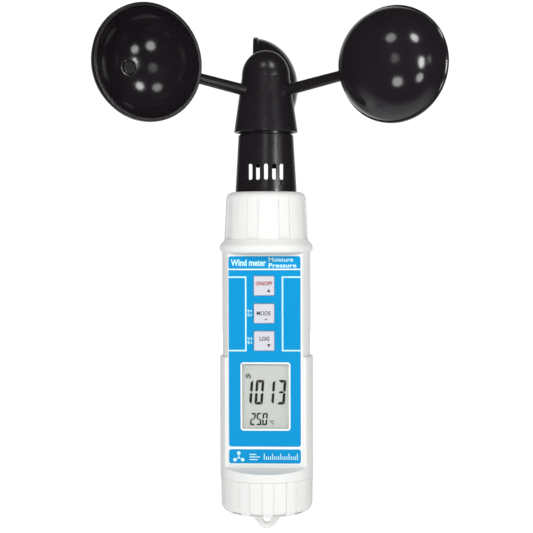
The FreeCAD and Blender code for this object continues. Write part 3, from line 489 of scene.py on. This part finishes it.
SIDE_FILM = (0.1, 0.7)                 # white film left showing at the label's left and right
TOP_FILM = 0.6
FOOT_FILM = 0.6
HEADER_H = 5.4
HEADER_GAP = 0.55                      # white line under the header
FOOTER_H = 6.15
FOOTER_GAP = 1.1                       # white line over the footer
CORNER_R = 1.0
LENS_LAP = 0.75                        # how far the lens reaches behind the film
FRAME_W = 0.72                         # white line round the display window
FRAME_R = 1.3
KEYS = ("power", "hold", "record")
KEY_FLANGE = 0.8                       # hidden behind the film, all round a key's face
KEY_CLEARANCE = 0.16
KEY_HOLE_R = 0.6
BRACKET_LINE = 0.62
BRACKET_REACH = 7.9                    # from the keys' centre line to a bracket's upright
BRACKET_Z = (74.9, 106.5)

# piece, words, (low x, high x, low z, high z) from the header's lower left corner, weight
HEADER_WORDS = (
    ("header_main_word", "Wind meter", (1.0, 16.2, 1.15, 4.05), 0.28),
    ("header_upper_word", "Moisture", (17.3, 27.8, 3.0, 4.85), 0.1),
    ("header_lower_word", "Pressure", (17.3, 29.2, 0.5, 2.35), 0.22),
)

# footer marks: x from the label's left and z from the footer's foot
ROTOR_MARK = (4.2, 2.55)
ROTOR_MARK_HUB_R = 0.45
ROTOR_MARK_CUP_R = 0.78
ROTOR_MARK_REACH = 1.9
ROTOR_MARK_ARM = (0.55, 1.0, 0.4)      # start and end from the hub's centre, and width
STREAK_X = 8.8
STREAK_Z = 1.7
STREAK_STEP = 1.1
STREAK_W = 0.42
STREAK_LENGTHS = (3.6, 4.6, 3.0)
SCALE_X = 15.2
SCALE_RIGHT = 1.6                      # from the label's right
SCALE_Z = 1.6
SCALE_COUNT = 17
SCALE_TALL_EVERY = 4
SCALE_HEIGHTS = (2.7, 1.5)             # of tall and short ticks
SCALE_LINE = 0.36
SCALE_BASE_DROP = 0.15                 # of the base line's middle below the ticks' feet

# strokes of a mark beside a key: start, end and width, from the mark's left and middle
SIDE_STROKES = (
    ((0.0, 0.25), (1.1, 0.25), 0.35),
    ((0.2, -0.4), (0.9, -0.4), 0.35),
    ((1.7, -0.5), (1.7, 0.45), 0.4),
)
SIDE_MARK_GAP = 2.9                    # from a mark's left to the key
SIDE_MARK_RISES = (1.0, -0.7)          # of the two marks' middles over the key's middle


def shifted(span, x, z):
    """A (low x, high x, low z, high z) span moved by x and z."""
    return span[0] + x, span[1] + x, span[2] + z, span[3] + z


def grown(span, by):
    return span[0] - by, span[1] + by, span[2] - by, span[3] + by


def face_span(node):
    """Low x, high x, low z and high z of a node."""
    low, high = box_mm(node)
    return low.x, high.x, low.z, high.z


def key_face(name):
    return grown(face_span(name + "_key"), -KEY_FLANGE)


def key_middle(name):
    low_x, high_x, low_z, high_z = key_face(name)
    return (low_x + high_x) / 2, (low_z + high_z) / 2


def key_front(name):
    return box_mm(name + "_key")[0].y


def front_label(ink_blue, ink_line):
    low, high = box_mm("front_overlay")
    y = low.y
    left, right = low.x + SIDE_FILM[0], high.x - SIDE_FILM[1]
    top = high.z - TOP_FILM
    header_low = top - HEADER_H
    foot = low.z + FOOT_FILM
    footer_high = foot + FOOTER_H
    window = rounded_rect(*grown(face_span("lcd_window"), FRAME_W - LENS_LAP), FRAME_R)
    key_holes = [rounded_rect(*grown(key_face(name), KEY_CLEARANCE), KEY_HOLE_R) for name in KEYS]
    header = rounded_rect(left, right, header_low, top, CORNER_R, "top")
    panel = rounded_rect(left, right, footer_high + FOOTER_GAP, header_low - HEADER_GAP, CORNER_R, "bottom")
    footer = rounded_rect(left, right, foot, footer_high, CORNER_R)
    printed("label_header", [header], y, ink_blue)
    printed("label_panel", [panel, window] + key_holes, y, ink_blue)
    printed("label_footer", [footer], y, ink_blue)
    brackets(left, right, y, ink_line)
    for name, words, span, weight in HEADER_WORDS:
        fit = shifted(span, left, header_low)
        lettered(name, words, fit, y, ink_line, weight=weight, lift=INK_T)
    printed("footer_rotor_mark", rotor_mark(left, foot) + streaks(left, foot), y, ink_line, lift=INK_T)
    printed("footer_scale", tick_scale(left, right, foot), y, ink_line, lift=INK_T)
    printed("key_side_marks", side_marks(), y, ink_line, lift=INK_T)


def brackets(left, right, y, ink):
    """Two line brackets that open towards the label's sides."""
    middle = key_middle("power")[0]
    low_z, high_z = BRACKET_Z
    half = BRACKET_LINE / 2
    for name, side, edge in (("bracket_left", -1, left), ("bracket_right", 1, right)):
        near = middle + side * (BRACKET_REACH - half)
        far = middle + side * (BRACKET_REACH + half)
        points = [(edge, high_z + half), (near, high_z + half), (near, low_z - half), (edge, low_z - half),
                  (edge, low_z + half), (far, low_z + half), (far, high_z - half), (edge, high_z - half)]
        printed(name, [points], y, ink, lift=INK_T)


def rotor_mark(left, foot):
    """Hub, three short arms and three cups, which don't overlap."""
    x, z = left + ROTOR_MARK[0], foot + ROTOR_MARK[1]
    start, end, width = ROTOR_MARK_ARM

    def out(turn, reach):
        return x + reach * cos(radians(turn)), z + reach * sin(radians(turn))

    loops = [disc(x, z, ROTOR_MARK_HUB_R)]
    for turn in (90, 210, 330):
        loops.append(disc(*out(turn, ROTOR_MARK_REACH), ROTOR_MARK_CUP_R))
        loops.append(bar(out(turn, start), out(turn, end), width))
    return loops


def streaks(left, foot):
    loops = []
    for i, length in enumerate(STREAK_LENGTHS):
        z = foot + STREAK_Z + STREAK_STEP * i
        loops.append(bar((left + STREAK_X, z), (left + STREAK_X + length, z), STREAK_W))
    return loops


def tick_scale(left, right, foot):
    """Plain scale: upright ticks, some taller, on a base line."""
    start, end = left + SCALE_X, right - SCALE_RIGHT
    base = foot + SCALE_Z
    loops = []
    for i in range(SCALE_COUNT):
        x = start + (end - start) * i / (SCALE_COUNT - 1)
        height = SCALE_HEIGHTS[0] if i % SCALE_TALL_EVERY == 0 else SCALE_HEIGHTS[1]
        loops.append(bar((x, base), (x, base + height), SCALE_LINE))
    half = SCALE_LINE / 2
    line_z = base - SCALE_BASE_DROP
    loops.append(bar((start - half, line_z), (end + half, line_z), SCALE_LINE))
    return loops


def side_marks():
    """Two small marks, one over the other, beside the middle key and beside the lower key."""
    loops = []
    for name in ("hold", "record"):
        x = key_face(name)[0] - SIDE_MARK_GAP
        for rise in SIDE_MARK_RISES:
            z = key_middle(name)[1] + rise
            for start, end, width in SIDE_STROKES:
                loops.append(bar((x + start[0], z + start[1]), (x + end[0], z + end[1]), width))
    return loops


# ---------------------------------------------------------------- keys

KEY_WORD_H = 1.75
# key, words, width, (x, z) of the words' middle from the face's middle, weight
KEY_WORDS = (
    ("power", "ON/OFF", 7.2, (0.0, 1.0), 0.26),
    ("hold", "MODE", 6.0, (-0.15, 0.1), 0.1),
    ("record", "LOG", 4.2, (0.15, 1.0), 0.26),
)
ARROW = 0.72                           # half an arrow's width and height
ARROW_UP = ((-ARROW, -ARROW), (ARROW, -ARROW), (0, ARROW))
ARROW_DOWN = ((-ARROW, ARROW), (0, -ARROW), (ARROW, ARROW))
ARROW_ENTER = ((-0.65, 0), (-0.1, 0.38), (-0.1, 0.14), (0.4, 0.14), (0.4, 0.45), (0.65, 0.45),
               (0.65, -0.14), (-0.1, -0.14), (-0.1, -0.38))
# key, outline, (x, z) of its middle from the face's middle
KEY_MARKS = (
    ("power", ARROW_UP, (2.0, -2.05)),
    ("hold", ARROW_ENTER, (0.75, -2.6)),
    ("record", ARROW_DOWN, (2.0, -2.1)),
)


def key_legends(red, dark):
    for name, words, width, shift, weight in KEY_WORDS:
        x, z = key_middle(name)
        fit = shifted((-width / 2, width / 2, -KEY_WORD_H / 2, KEY_WORD_H / 2), x + shift[0], z + shift[1])
        ink = red if name == "power" else dark
        lettered(name + "_word", words, fit, key_front(name), ink, name + "_key", weight)
    for name, outline, shift in KEY_MARKS:
        x, z = key_middle(name)
        loop = [(x + shift[0] + px, z + shift[1] + pz) for px, pz in outline]
        printed(name + "_mark", [loop], key_front(name), dark, name + "_key")


# ---------------------------------------------------------------- display figures

LIT = {"0": "abcdef", "1": "bc", "2": "abged", "3": "abgcd", "5": "afgcd"}
SLANT = 0.075                          # sideways lean per unit of height
MARK_WEIGHT = 0.3
# pieces, digits, first digit's x from the display's middle, step, z from its foot, width, height, stroke
FIGURE_ROWS = (
    ("large_figure_", "1013", -9.65, 4.75, 11.1, 3.6, 10.6, 1.15),
    ("small_figure_", "250", -6.85, 2.6, 2.15, 2.2, 5.3, 0.7),
)
# (low x, high x, low z, high z) from the middle of the display's foot
DECIMAL_POINT = (-2.12, -1.7, 2.15, 2.65)
DEGREE_MARK = (1.75, 3.65, 2.55, 4.25)
UNIT_MARK = (-8.6, -6.3, 22.4, 24.5)


def figure(digit, x, z, width, height, stroke):
    """Seven-segment figure whose lower left corner is at x, z. Its segments have bevelled ends."""
    cut, gap, rest = stroke * 0.42, stroke * 0.07, stroke * 0.16
    middle = height / 2
    half = stroke / 2
    tip, waist, shoulder = half * 0.7, half * 0.55, half * 0.8

    def level(base, up):
        """Top or bottom bar; up is 1 for the top."""
        return [(cut / 2 + gap, base - up * cut / 2), (cut, base), (width - cut, base),
                (width - cut / 2 - gap, base - up * cut / 2), (width - stroke - gap, base - up * stroke),
                (stroke + gap, base - up * stroke)]

    def upright(side, up):
        """Left or right stroke of the upper (up 1) or lower (up -1) half."""
        end = middle + up * middle
        points = [(cut / 2, end - up * (cut / 2 + gap)), (0, end - up * cut),
                  (0, middle + up * (tip + rest)), (waist, middle + up * rest),
                  (stroke, middle + up * (half + rest)), (stroke, end - up * (stroke + gap))]
        return points if side == "left" else [(width - px, pz) for px, pz in points]

    bridge = [(tip + rest, middle), (stroke, middle + shoulder), (width - stroke, middle + shoulder),
              (width - tip - rest, middle), (width - stroke, middle - shoulder), (stroke, middle - shoulder)]
    shapes = {"a": level(height, 1), "d": level(0, -1), "g": bridge, "b": upright("right", 1),
              "c": upright("right", -1), "f": upright("left", 1), "e": upright("left", -1)}
    return [[(x + px + SLANT * pz, z + pz) for px, pz in shapes[s]] for s in LIT[digit]]


def display_figures(crystal, faint):
    low, high = box_mm("lcd_glass")
    middle = (low.x + high.x) / 2
    for pieces, digits, first, step, rise, width, height, stroke in FIGURE_ROWS:
        for i, digit in enumerate(digits):
            loops = figure(digit, middle + first + step * i, low.z + rise, width, height, stroke)
            printed(pieces + str(i + 1), loops, low.y, crystal)
    point = rounded_rect(*shifted(DECIMAL_POINT, middle, low.z))
    printed("decimal_point", [point], low.y, crystal)
    for name, words, span in (("degree_mark", "°C", DEGREE_MARK), ("unit_mark", "hPa", UNIT_MARK)):
        fit = shifted(span, middle, low.z)
        lettered(name, words, fit, low.y, faint, weight=MARK_WEIGHT)


# ---------------------------------------------------------------- camera

CAMERA_TURN = radians(2.5)             # round the object, towards +X
CAMERA_DISTANCE = 0.547
CAMERA_HEIGHT = 0.1237
CAMERA_AIM = (0.1 * MM, 0, 0.1108)
CAMERA_ROLL = radians(0.16)
LENS = 84.43
SENSOR = 36.0


def aim(thing, target):
    thing.rotation_mode = "QUATERNION"
    thing.rotation_quaternion = (target - thing.location).to_track_quat("-Z", "Y")


def camera():
    made = bpy.data.objects.new("camera", bpy.data.cameras.new("camera"))
    bpy.context.scene.collection.objects.link(made)
    made.location = (CAMERA_DISTANCE * sin(CAMERA_TURN), -CAMERA_DISTANCE * cos(CAMERA_TURN), CAMERA_HEIGHT)
    made.data.lens = LENS
    made.data.sensor_width = SENSOR
    made.data.clip_start = 0.01
    aim(made, Vector(CAMERA_AIM))
    made.rotation_quaternion = made.rotation_quaternion @ Quaternion((0, 0, 1), -CAMERA_ROLL)
    bpy.context.scene.camera = made


# ---------------------------------------------------------------- lamps

# (name, turn, rise, width, height, radiance) of the soft lamps that light the matt surfaces. Turn and rise
# are degrees from the front, and width and height are degrees across.
SOFT_LAMPS = (("key_lamp", -9, 22, 24, 24, 7.35), ("right_fill", 60, 10, 50, 60, 0.8),
              ("back_fill", 180, 12, 60, 60, 0.9))
SOFT_LAMP_DISTANCE = 1.2
# The same without the name, of lamps at the right that show only as reflections in the black parts
FAR_LIGHTS = ((37, 42, 13, 15, 8.5), (43, 0, 12, 18, 11), (45, -25, 14, 15, 5.2), (61, 6, 9, 12, 1.3))
FAR_LIGHT_DISTANCE = 1.25
# (x, height, width, radiance) of small round ones in front, also only for the black parts' reflections
NEAR_LIGHTS = ((-0.055, 0.485, 0.115, 4.3), (0.0, 0.225, 0.085, 1.4), (0.025, -0.015, 0.11, 6.2))
NEAR_LIGHT_Y = -0.31


def area_lamp(name, shape, size, energy, place, target, diffuse):
    """Lamp that shows either in matt surfaces or in reflections, and never to the camera."""
    light = bpy.data.lights.new(name, "AREA")
    light.shape = shape
    light.size, light.size_y = size
    light.energy = energy
    made = bpy.data.objects.new(name, light)
    bpy.context.scene.collection.objects.link(made)
    made.location = place
    aim(made, target)
    made.visible_camera = False
    made.visible_diffuse = diffuse
    made.visible_glossy = not diffuse
    made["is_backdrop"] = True
    return made


def lamp_around(name, shape, turn, rise, width, height, radiance, target, distance, diffuse):
    size = (2 * distance * tan(radians(width / 2)), 2 * distance * tan(radians(height / 2)))
    turn, rise = radians(turn), radians(rise)
    place = target + distance * Vector((sin(turn) * cos(rise), -cos(turn) * cos(rise), sin(rise)))
    return area_lamp(name, shape, size, radiance * 4 * size[0] * size[1], place, target, diffuse)


def studio():
    low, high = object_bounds()
    rotor_low, rotor_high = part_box("rotor_hub")
    rotor = (rotor_low + rotor_high) / 2
    body = Vector((0, 0, (low.z + high.z) / 2))
    for name, *lamp in SOFT_LAMPS:
        lamp_around(name, "RECTANGLE", *lamp, body, SOFT_LAMP_DISTANCE, True)
    black_parts = bpy.data.collections.new("black_parts")
    for name, thing in frame["nodes"].items():
        if SLOT[name] == "black_plastic":
            black_parts.objects.link(thing)
    cards = []
    for i, (x, height, width, radiance) in enumerate(NEAR_LIGHTS):
        energy = radiance * pi * width * width
        cards.append(area_lamp("near_light_" + str(i + 1), "DISK", (width, width), energy,
                               Vector((x, NEAR_LIGHT_Y, height)), rotor, False))
    for i, lamp in enumerate(FAR_LIGHTS):
        cards.append(lamp_around("far_light_" + str(i + 1), "ELLIPSE", *lamp, rotor,
                                 FAR_LIGHT_DISTANCE, False))
    for card in cards:
        card.light_linking.receiver_collection = black_parts


# ---------------------------------------------------------------- surroundings

WORLD_SEEN = 1.05
WORLD_DIFFUSE = 0.27
# what reflections show: a dark room, pale straight behind the object, and a paler table low behind it.
# The spans are those of a ray's direction over which each one fades in.
WORLD_DARK = 0.025
WORLD_RIM = 0.8
WORLD_RIM_Y = (0.72, 0.97)
WORLD_TABLE = 0.62
WORLD_TABLE_Y = (-0.2, 0.1)
WORLD_TABLE_Z = (-0.4, -0.75)
FLOOR_R = 3.0
FLOOR_RINGS = 24
FLOOR_STEPS = 96
FLOOR_GLOW = (0.35, 0.75)              # to other rays and to the camera
FLOOR_GAP = 0.2 * MM
CAP_TRAVEL = 7.5 * MM                  # of the battery cap, downwards


def world():
    made = bpy.data.worlds.new("studio")
    made.use_nodes = True
    bpy.context.scene.world = made
    nodes = Nodes(made.node_tree)
    place = nodes.add("ShaderNodeTexCoord").outputs["Generated"]
    axes = nodes.add("ShaderNodeSeparateXYZ", Vector=place).outputs
    behind = nodes.remap(axes["Y"], *WORLD_TABLE_Y, 0.0, WORLD_TABLE)
    table = nodes.maths("MULTIPLY", nodes.remap(axes["Z"], *WORLD_TABLE_Z), behind)
    rim = nodes.remap(axes["Y"], *WORLD_RIM_Y, 0.0, WORLD_RIM)
    mirrored = nodes.maths("ADD", nodes.maths("MAXIMUM", table, rim), WORLD_DARK)
    ray = nodes.add("ShaderNodeLightPath").outputs
    strength = nodes.choose(ray["Is Glossy Ray"], WORLD_DIFFUSE, mirrored)
    strength = nodes.choose(ray["Is Camera Ray"], strength, WORLD_SEEN)
    background = made.node_tree.nodes["Background"]
    background.inputs["Color"].default_value = (1, 1, 1, 1)
    nodes.feed(background.inputs["Strength"], strength)


def floor_paper():
    """Matt pale sheet that glows a little, so that it stays as pale as the sky behind it."""
    s = Shader("floor_paper")
    tooth = s.bump(s.noise(1500, 3, 0.6), 0.05 * MM, None, 0.2)
    paper = s.add("ShaderNodeBsdfDiffuse", Color=(0.9, 0.9, 0.9, 1), Normal=tooth)
    seen = s.add("ShaderNodeLightPath").outputs["Is Camera Ray"]
    glow = s.add("ShaderNodeEmission", Strength=s.remap(seen, 0, 1, *FLOOR_GLOW))
    lit = s.add("ShaderNodeAddShader")
    s.feed(lit.inputs[0], paper.outputs[0])
    s.feed(lit.inputs[1], glow.outputs[0])
    s.add("ShaderNodeOutputMaterial", Surface=lit.outputs[0])
    return s.material


def floor():
    """Round pale sheet just below the strap lug's place when the cap is unscrewed."""
    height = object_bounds()[0].z - CAP_TRAVEL - FLOOR_GAP
    mesh = bmesh.new()
    inner = None
    centre = mesh.verts.new((0, 0, height))
    for ring in range(1, FLOOR_RINGS + 1):
        radius = FLOOR_R * ring / FLOOR_RINGS
        outer = [mesh.verts.new((x, y, height)) for x, y in disc(0, 0, radius, FLOOR_STEPS)]
        for i in range(FLOOR_STEPS):
            j = (i + 1) % FLOOR_STEPS
            if inner is None:
                mesh.faces.new((centre, outer[i], outer[j]))
            else:
                mesh.faces.new((inner[i], outer[i], outer[j], inner[j]))
        inner = outer
    data = bpy.data.meshes.new("floor")
    mesh.to_mesh(data)
    mesh.free()
    data.materials.append(floor_paper())
    made = bpy.data.objects.new("floor", data)
    bpy.context.scene.collection.objects.link(made)
    made.visible_glossy = False
    made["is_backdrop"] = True


# ---------------------------------------------------------------- build

def dress_frame(materials):
    for name, thing in frame["nodes"].items():
        finish = "cup_plastic" if name.startswith("cup_") else SLOT[name]
        thing.data.materials.clear()
        thing.data.materials.append(materials[finish])


def build():
    dress_frame(build_materials())
    front_label(printed_film("ink_blue", INK_BLUE, 0.36, 0.46, INK_BLUE_BLEED),
                printed_film("ink_line", INK_LINE, 0.34, 0.44))
    key_legends(printed_film("ink_red", INK_RED, 0.4, 0.5), printed_film("ink_dark", INK_DARK, 0.4, 0.5))
    display_figures(printed_film("crystal", CRYSTAL, 0.3, 0.4),
                    printed_film("crystal_faint", CRYSTAL_FAINT, 0.3, 0.4))
    studio()
    world()
    floor()
    camera()
    bpy.context.scene.view_settings.view_transform = "Standard"


build()
